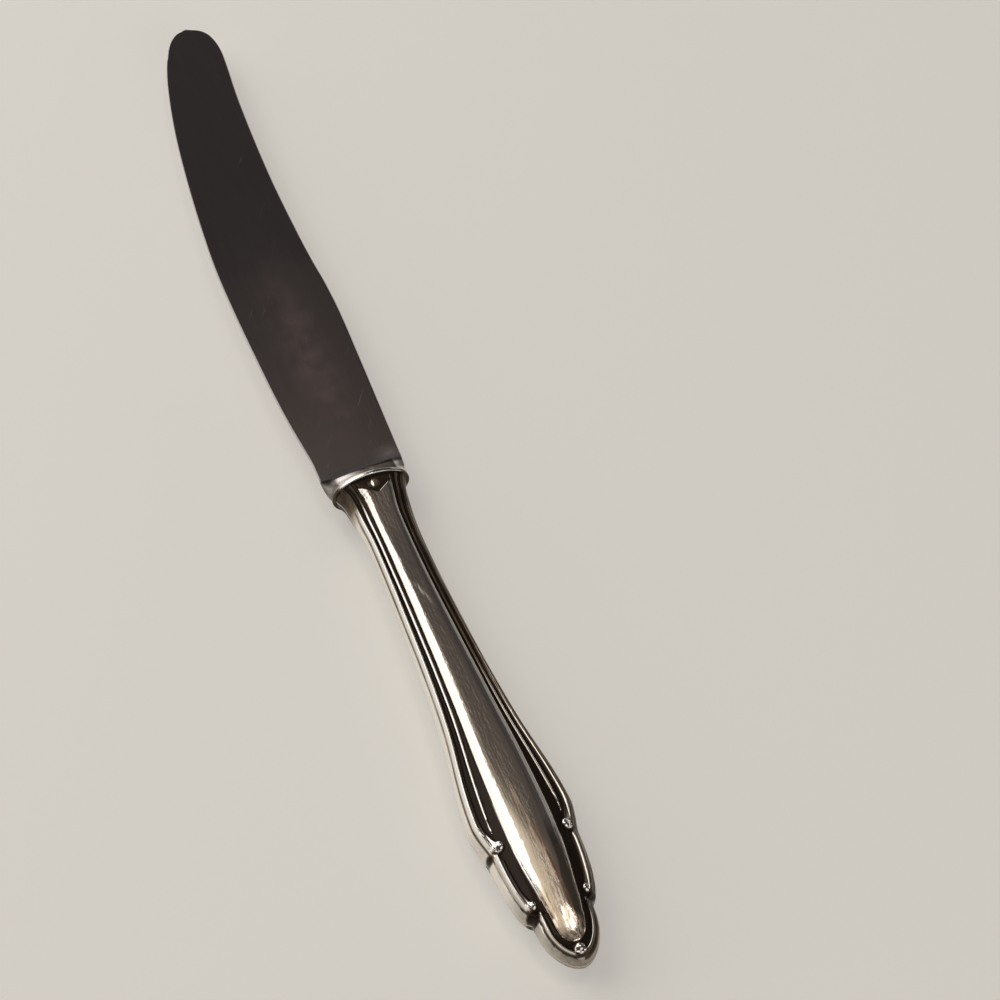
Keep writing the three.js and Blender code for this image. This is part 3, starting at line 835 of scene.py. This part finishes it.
# %% Ferrule
FERRULE_POINTS = 160
RIM_INSET = 0.22
HOLE_INSET = 3.4
RIM_ROUNDING = 0.2
ferrule_low, ferrule_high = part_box("mouth_ferrule")
ferrule_size = ferrule_high - ferrule_low
ferrule_middle = (ferrule_low + ferrule_high) / 2
bpy.ops.mesh.primitive_cylinder_add(vertices=FERRULE_POINTS, radius=0.5, depth=1, rotation=(0, np.pi / 2, 0))
ferrule = name_piece("ferrule")
bpy.ops.object.transform_apply(location=False, rotation=True, scale=False)
ferrule.scale = ferrule_size
ferrule.location = ferrule_middle
bpy.ops.object.transform_apply(location=True, rotation=False, scale=True)
bpy.ops.object.mode_set(mode="EDIT")
bpy.ops.mesh.select_mode(type="FACE")
bpy.ops.mesh.select_all(action="DESELECT")
ends = bmesh.from_edit_mesh(ferrule.data)
for face in ends.faces:
    face.select = len(face.verts) > 4
bmesh.update_edit_mesh(ferrule.data)
bpy.ops.mesh.inset(thickness=RIM_INSET * MM, use_individual=True)
bpy.ops.mesh.inset(thickness=HOLE_INSET * MM, use_individual=True)
bpy.ops.mesh.bridge_edge_loops()
bpy.ops.object.mode_set(mode="OBJECT")
rounding = ferrule.modifiers.new("rounded_rims", "BEVEL")
rounding.width = RIM_ROUNDING * MM
rounding.segments = 4
rounding.limit_method = "ANGLE"
bpy.ops.object.modifier_apply(modifier="rounded_rims")
bpy.ops.object.shade_smooth_by_angle(angle=np.radians(40))
ferrule_place = np.array([corner.co - ferrule_middle for corner in ferrule.data.vertices])
end_share = 2 * ferrule_place[:, 1] / ferrule_size.y
ring_share = np.hypot(end_share, 2 * ferrule_place[:, 2] / ferrule_size.z)
# Tarnish with painted shade on the ferrule's face and its narrow ends.
face_shade_and_tarnish = smooth_step(0.985, 0.955, ring_share)
end_shade_and_tarnish = smooth_step(0.66, 0.86, np.abs(end_share))
store_masks(ferrule, {"tarnish_and_shade": darkest([(face_shade_and_tarnish, 0.7), (end_shade_and_tarnish, 0.75)])})
print("ferrule faces:", len(ferrule.data.polygons))

# %% [markdown]
# Blade, bolster and tang are one forging. Its outline is given as distances from the tip, drawn
# over the square root of the distance so that the nose is round. A cross-section is a ring of
# points: flat sides, a ground edge that thins to a small bevel, and a softened spine.

# %% Sections of the blade
TIP_AT = 137.5
RING_POINTS = 96
TIP_HALF = 0.5
BLADE_HALF = 1.1
TAPER_LENGTH = 75
EDGE_SHARE = 0.62
BEVEL_WIDTH = 0.13
BEVEL_SHARE = 0.2
SPINE_ROUNDING = 0.45
EDGE_POINTS = [
    (0, -4.2), (2.2, -0.4), (6.7, 2.0), (16.3, 4.9), (35.8, 8.4), (64.6, 11.2), (78.8, 11.6), (99.9, 11.1),
    (113.7, 10.4), (127.3, 9.05),
]
SPINE_POINTS = [
    (0, -4.2), (0.5, -5.7), (1.8, -7.9), (4, -9.35), (8.6, -10.2), (14.2, -10), (27, -9), (50, -8.3),
    (68, -8.6), (77.5, -9.05), (83, -9.5), (92, -9.75), (105.8, -9.45), (132, -8.7),
]
edge_curve = curve_through([(distance ** 0.5, value) for distance, value in EDGE_POINTS])
spine_curve = curve_through([(distance ** 0.5, value) for distance, value in SPINE_POINTS])
ring_angle = np.linspace(0, 2 * np.pi, RING_POINTS, endpoint=False)


def blade_ring(x):
    """A cross-section of the blade, starting at its cutting edge."""
    root = max(TIP_AT - x, 0) ** 0.5
    edge = edge_curve(root)
    spine = spine_curve(root)
    flat = TIP_HALF + (BLADE_HALF - TIP_HALF) * min((TIP_AT - x) / TAPER_LENGTH, 1)
    y = (edge + spine) / 2 + np.cos(ring_angle) * (edge - spine) / 2
    ground = np.clip((edge - y) / (edge - spine + 0.01), 0, 1)
    thin = flat * (EDGE_SHARE + (1 - EDGE_SHARE) * ground)
    bevel = BEVEL_SHARE + (1 - BEVEL_SHARE) * np.clip((edge - y) / BEVEL_WIDTH, 0, 1)
    from_spine = np.clip((y - spine) / SPINE_ROUNDING, 0, 1)
    soft_spine = np.sqrt(np.clip(1 - (1 - from_spine) ** 2, 0, 1))
    half = thin * np.minimum(bevel, soft_spine)
    return np.stack([np.full(RING_POINTS, x), y, half * np.sign(np.sin(ring_angle))], axis=1)


print("blade width 60 mm from the tip:", round(np.ptp(blade_ring(TIP_AT - 60)[:, 1]), 2))

# %% [markdown]
# The bolster's collar is an oval, and a hollow cove sweeps from it into the flat blade. The tang
# behind it is a slim tapering oval that the handle hides.

# %% Sections of the bolster and the tang
BLADE_BACK = 0.8
COVE_FROM = 1.1
COVE_TO = 5.5
COVE_STRAIGHT = 0.1
COLLAR_WIDTH = 16.1
COLLAR_THICKNESS = 11.5
COLLAR_CHAMFER = 0.1
TANG_LENGTH = 70
TANG_WIDTH = 6.4
TANG_THICKNESS = 4.2
NOSE_LENGTH = 12
LAST_RING = 0.12


def oval_ring(x, width, thickness):
    y = np.cos(ring_angle) * width / 2
    z = np.sin(ring_angle) * thickness / 2
    return np.stack([np.full(RING_POINTS, x), y, z], axis=1)


def tang_ring(share):
    """A section of the tang, from the collar at share 0 to half its size at share 1."""
    size = 1 - share / 2
    return oval_ring(BLADE_BACK - TANG_LENGTH * share, TANG_WIDTH * size, TANG_THICKNESS * size)


def cove_ring(x):
    share = (COVE_TO - x) / (COVE_TO - COVE_FROM)
    hollow = 1 - (1 - share ** 2) ** 0.5
    sweep = COVE_STRAIGHT * share + (1 - COVE_STRAIGHT) * hollow
    return blade_ring(x) * (1 - sweep) + oval_ring(x, COLLAR_WIDTH, COLLAR_THICKNESS) * sweep


tang = [tang_ring(share) for share in (1, 0.5, 0)]
collar = [
    oval_ring(BLADE_BACK, COLLAR_WIDTH - 2 * COLLAR_CHAMFER, COLLAR_THICKNESS - 2 * COLLAR_CHAMFER),
    oval_ring(BLADE_BACK + COLLAR_CHAMFER, COLLAR_WIDTH, COLLAR_THICKNESS),
]
cove = [cove_ring(x) for x in np.linspace(COVE_FROM, COVE_TO, 36)]
body = [blade_ring(x) for x in np.linspace(COVE_TO, TIP_AT - NOSE_LENGTH, 90)[1:]]
nose_left = (NOSE_LENGTH - LAST_RING) * (1 - np.linspace(0, 1, 46)[1:]) ** 2
nose = [blade_ring(TIP_AT - LAST_RING - left) for left in nose_left]
sections = [from_mouth(ring) for ring in [*tang, *collar, *cove, *body, *nose]]
print("sections of the forging:", len(sections))

# %% [markdown]
# The forging is drawn out as a smith would: a ring of the mesh menu is filled and extruded again
# and again, and each new ring moves to the next section. The filled first and last rings
# close both ends.

# %% Draw out the blade
bpy.ops.mesh.primitive_circle_add(vertices=RING_POINTS, radius=1)
blade = name_piece("steel_blade")
move_points(blade, sections[0])
bpy.ops.object.mode_set(mode="EDIT")
bpy.ops.mesh.select_all(action="SELECT")
bpy.ops.mesh.edge_face_add()
for section in sections[1:]:
    bpy.ops.mesh.extrude_region_move()
    forging = bmesh.from_edit_mesh(blade.data)
    end = next(face for face in forging.faces if face.select)
    for corner, place in zip(end.verts, section):
        corner.co = place
    bmesh.update_edit_mesh(blade.data)
bpy.ops.mesh.select_all(action="SELECT")
bpy.ops.mesh.normals_make_consistent(inside=False)
bpy.ops.object.mode_set(mode="OBJECT")
bpy.ops.object.shade_smooth_by_angle(angle=np.radians(14))
print("blade faces:", len(blade.data.polygons))

# %% [markdown]
# The steel wears unevenly, too. The bolster is handled and dull. Dirt and painted shade darken the
# crease, one end of the cove and its middle. A pinkish painted sheen lies on the side of the
# blade, and a painted grey reflection in the corner by the spine.

# %% Wear, painted shade and painted sheen on the blade
SHEEN_STRENGTH = 0.25
blade_places = np.array([corner.co for corner in blade.data.vertices]) / MM - mouth / MM
from_collar, from_axis = blade_places.T[:2]
# Dirt and painted shade: a dark line in the crease, one end of the cove and its middle, most towards the
# spine.
crease_line = np.exp(-((from_collar - COVE_TO + 0.1) / 0.14) ** 2)
in_cove = smooth_step(COVE_TO + 0.1, COVE_TO - 0.3, from_collar) * (from_collar > BLADE_BACK + 0.2)
cove_end = smooth_step(5.6, 6.4, from_axis) * in_cove
cove_middle = smooth_step(4.4, 0.4, from_axis) * smooth_step(-6.9, -6.0, from_axis) * in_cove
middle_strength = 0.95 + 0.45 * smooth_step(-1.5, -4.5, from_axis)


def sheen_patch(along, across, length, width):
    """A soft patch of painted sheen on the blade, 1 at its middle."""
    return np.exp(-((from_collar - along) / length) ** 2 - ((from_axis - across) / width) ** 2)


# Painted sheen on the blade's side and a painted grey reflection by the spine; less bare metal there lets the
# lamps light them.
sheen_on_side = sheen_patch(36, 0.5, 22, 4.5)
reflection_by_spine = sheen_patch(7.2, -6.2, 1.3, 2.6)
blade_masks = {
    "bolster_wear": smooth_step(COVE_TO - 0.2, COVE_TO - 1.8, from_collar),
    "bolster_dirt_and_shade": darkest([(crease_line, 0.75), (cove_end, 1), (cove_middle, middle_strength)]),
    "painted_sheen": darkest([(sheen_on_side, SHEEN_STRENGTH), (reflection_by_spine, 0.55)]),
    "sheen_tint": sheen_on_side * SHEEN_STRENGTH,
}
store_masks(blade, blade_masks)
print("masks on the blade:", ", ".join(blade_masks))

# %% [markdown]
# Years of wiping leave fine lines along the metal. One node group makes them from noise that is
# drawn out along the knife, because every finish uses them. It also gives soft clouds, a few
# slanting scratches and small flecks, and each finish takes what it needs.

# %% Lengthwise wear
LINE_STRETCH = (90, 2600, 2600)
CLOUD_STRETCH = (240, 240, 240)
SCRATCH_STRETCH = (140, 3600, 900)
SCRATCH_SLANT = 0.6
FLECK_STRETCH = (700, 2000, 2000)


def drawn_noise(tree, place, stretch, detail, scale=1):
    """Noise that is drawn out most along the axis with the smallest stretch."""
    drawn = add_node(tree, "VectorMath", {0: place, 1: stretch}, operation="MULTIPLY").outputs[0]
    return add_node(tree, "TexNoise", {"Vector": drawn, "Scale": scale, "Detail": detail}).outputs["Fac"]


wear = bpy.data.node_groups.new("lengthwise_wear", "ShaderNodeTree")
fineness = wear.interface.new_socket("Fineness", in_out="INPUT", socket_type="NodeSocketFloat")
fineness.default_value = 1
for output_name in ("Lines", "Cloud", "Scratches", "Flecks"):
    wear.interface.new_socket(output_name, in_out="OUTPUT", socket_type="NodeSocketFloat")
wear_in = wear.nodes.new("NodeGroupInput")
wear_out = wear.nodes.new("NodeGroupOutput")
place = add_node(wear, "TexCoord", {}).outputs["Object"]
slant = {"Vector": place, "Angle": SCRATCH_SLANT}
slanted = add_node(wear, "VectorRotate", slant, rotation_type="Z_AXIS").outputs["Vector"]
scratch_noise = drawn_noise(wear, slanted, SCRATCH_STRETCH, 1)
feed(wear_out, {
    "Lines": drawn_noise(wear, place, LINE_STRETCH, 6, wear_in.outputs["Fineness"]),
    "Cloud": drawn_noise(wear, place, CLOUD_STRETCH, 4),
    "Scratches": map_range(wear, scratch_noise, 0.71, 0.80),
    "Flecks": drawn_noise(wear, place, FLECK_STRETCH, 2),
})
print("node group:", wear.name)

# %% [markdown]
# Polished silver is bright where it is rubbed and nearly black in the channels. The stored mask of
# tarnish and painted shade drives the colour from clean silver to sulphide, and the darker it gets
# the less it is bare metal. Over that come the painted gold reflection and its reddish border,
# broken up by the wear lines.

# %% Colour of the silver
SILVER_RAMP = [
    # (tarnish, colour)
    (0.00, (0.97, 0.955, 0.93, 1)),
    (0.08, (0.92, 0.885, 0.83, 1)),
    (0.30, (0.56, 0.52, 0.46, 1)),
    (0.55, (0.17, 0.125, 0.085, 1)),
    (0.85, (0.028, 0.020, 0.015, 1)),
]
GOLD_REFLECTION_COLOUR = (0.88, 0.72, 0.55, 1)
RED_REFLECTION_COLOUR = (0.56, 0.34, 0.24, 1)


def add_wear(tree, fineness):
    """The outputs of the wear group, placed in a finish."""
    return add_node(tree, "Group", {"Fineness": fineness}, node_tree=wear).outputs


def read_mask(tree, name):
    """A mask that is stored with the points of a piece."""
    return add_node(tree, "Attribute", {}, attribute_name=name).outputs["Fac"]


def broken_mask(tree, name, texture, low, high, to_low, to_high):
    """A stored mask that is broken up by one of the wear textures."""
    texture_share = map_range(tree, texture, low, high, to_low, to_high)
    return reckon(tree, "MULTIPLY", read_mask(tree, name), texture_share)


silver, tree, shader = new_finish("worn_silver")
silver_wear = add_wear(tree, 1)
mottled = broken_mask(tree, "tarnish_and_shade", silver_wear["Cloud"], 0.3, 0.7, 0.86, 1.12)
streaks = map_range(tree, silver_wear["Lines"], 0.4, 0.6, 0.1, 1)
rub_reflection_streaks = reckon(tree, "MULTIPLY", map_range(tree, read_mask(tree, "rub_and_reflection"), 0, 0.7), streaks)
red_reflection = read_mask(tree, "red_reflection")
gold_reflection_share = reckon(tree, "MAXIMUM", rub_reflection_streaks, red_reflection)
# Painted warm reflection: gold with a reddish border.
gold_reflection = blend(tree, red_reflection, GOLD_REFLECTION_COLOUR, RED_REFLECTION_COLOUR)
feed(shader, {
    "Base Color": blend(tree, gold_reflection_share, colour_ramp(tree, mottled, SILVER_RAMP), gold_reflection),
    "Metallic": map_range(tree, mottled, 0.4, 0.85, 1, 0.25),
    "Specular IOR Level": 0.1,
})
print("finish:", silver.name)

# %% [markdown]
# The polish is a mirror that the wear lines dull a little. Scratches, the rubbed panel, the smear
# and the satin flank add to the roughness. Lines and flecks also give a very low relief, which
# breaks up the edges of the reflections.

# %% Polish of the silver
LINE_ROUGHNESS = (0.06, 0.13)
GOLD_ROUGHNESS = 0.28
SCRATCH_ROUGHNESS = 0.16
SMEAR_ROUGHNESS = 0.32
FLECK_SHARE = 1.5
SILVER_RELIEF = 0.014


def roughen(tree, lines, span, marks):
    """A roughness in a span over the wear lines, to which (mask, strength) marks are added."""
    rough = map_range(tree, lines, 0.3, 0.7, *span)
    for mask, strength in marks:
        rough = reckon(tree, "MULTIPLY_ADD", mask, strength, rough)
    return rough


def add_bump(tree, shader, height_value, relief):
    """A low relief in the shader's normal, as high as the relief in millimetres."""
    bump = add_node(tree, "Bump", {"Distance": relief * MM, "Height": height_value})
    feed(shader, {"Normal": bump.outputs["Normal"]})


smear_streaks = broken_mask(tree, "smear", silver_wear["Lines"], 0.4, 0.55, 0.25, 1)
feed(shader, {"Roughness": roughen(tree, silver_wear["Lines"], LINE_ROUGHNESS, [
    (rub_reflection_streaks, GOLD_ROUGHNESS),
    (silver_wear["Scratches"], SCRATCH_ROUGHNESS),
    (smear_streaks, SMEAR_ROUGHNESS),
])})
grain = reckon(tree, "MULTIPLY_ADD", silver_wear["Flecks"], FLECK_SHARE, silver_wear["Lines"])
add_bump(tree, shader, grain, SILVER_RELIEF)
print("roughness of the bare silver:", LINE_ROUGHNESS)

# %% [markdown]
# The blade is mirror-polished steel with faint lines from wiping. A cloudy painted sheen tints its
# side, the bolster is brighter and duller from handling, and cloudy dirt with painted shade darkens the cove.

# %% Steel of the blade
POLISHED_STEEL = (0.57, 0.54, 0.545, 1)
WORN_STEEL = (0.74, 0.71, 0.67, 1)
SHEEN_COLOUR = (0.60, 0.47, 0.48, 1)
DIRT_AND_SHADE_COLOUR = (0.055, 0.042, 0.034, 1)
STEEL_LINE_ROUGHNESS = (0.05, 0.1)
BOLSTER_ROUGHNESS = 0.22
STEEL_SCRATCH_ROUGHNESS = 0.12
STEEL_RELIEF = 0.001
steel, tree, shader = new_finish("blade_steel")
steel_wear = add_wear(tree, 1)
steel_cloud = steel_wear["Cloud"]
worn = read_mask(tree, "bolster_wear")
sheen = broken_mask(tree, "painted_sheen", steel_cloud, 0.35, 0.65, 0.45, 1.55)
tint = broken_mask(tree, "sheen_tint", steel_cloud, 0.35, 0.65, 1.2, 4)
dirt_and_shade = broken_mask(tree, "bolster_dirt_and_shade", steel_cloud, 0.35, 0.6, 0.65, 1.1)
steel_colour = blend(tree, worn, POLISHED_STEEL, WORN_STEEL)
steel_colour = blend(tree, tint, steel_colour, SHEEN_COLOUR)
steel_colour = blend(tree, dirt_and_shade, steel_colour, DIRT_AND_SHADE_COLOUR)
under_sheen = map_range(tree, sheen, 0, 1, 1, 0.7)
under_dirt_and_shade = map_range(tree, dirt_and_shade, 0, 1, 1, 0.4)
rough_marks = [(worn, BOLSTER_ROUGHNESS), (steel_wear["Scratches"], STEEL_SCRATCH_ROUGHNESS)]
feed(shader, {
    "Base Color": steel_colour,
    "Metallic": reckon(tree, "MULTIPLY", under_sheen, under_dirt_and_shade),
    "Specular IOR Level": 0.2,
    "Roughness": roughen(tree, steel_wear["Lines"], STEEL_LINE_ROUGHNESS, rough_marks),
})
add_bump(tree, shader, steel_wear["Lines"], STEEL_RELIEF)
print("finish:", steel.name)

# %% [markdown]
# Solder is duller than the silver that it joins, with file lines in its roughness. The cement
# inside is a brown resin with darker clouds.

# %% Solder and cement
SOLDER_COLOUR = (0.62, 0.59, 0.55, 1)
SOLDER_ROUGHNESS = (0.3, 0.45)
CEMENT_RAMP = [
    # (cloud, colour)
    (0, (0.14, 0.10, 0.07, 1)),
    (1, (0.26, 0.20, 0.14, 1)),
]
solder, tree, shader = new_finish("filed_solder")
feed(shader, {
    "Metallic": 1,
    "Base Color": SOLDER_COLOUR,
    "Roughness": roughen(tree, add_wear(tree, 1)["Lines"], SOLDER_ROUGHNESS, []),
})
cement, tree, shader = new_finish("brown_cement")
feed(shader, {
    "Roughness": 0.9,
    "Base Color": colour_ramp(tree, add_wear(tree, 1)["Cloud"], CEMENT_RAMP),
})
print("finishes:", solder.name, cement.name)

# %% [markdown]
# Each new piece takes the place of its solid and rides with the knife's one body. The cement
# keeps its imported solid, closed in by the shells, and gets its finish only.

# %% Put the pieces in place
PIECES = [
    # (piece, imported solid, finish, slot)
    (handle_front, "handle_front_shell", silver, "handle_silver"),
    (handle_back, "handle_back_shell", silver, "handle_silver"),
    (ferrule, "mouth_ferrule", silver, "handle_silver"),
    (seam_line, "seam_solder", solder, "seam_solder"),
    (blade, "blade", steel, "blade_steel"),
]
for piece, node, finish, slot in PIECES:
    piece.data.materials.append(finish)
    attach(piece, "root")
    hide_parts(node)
packed_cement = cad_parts["handle_cement"]
packed_cement.data.materials.clear()
packed_cement.data.materials.append(cement)
print("pieces in place:", len(PIECES))
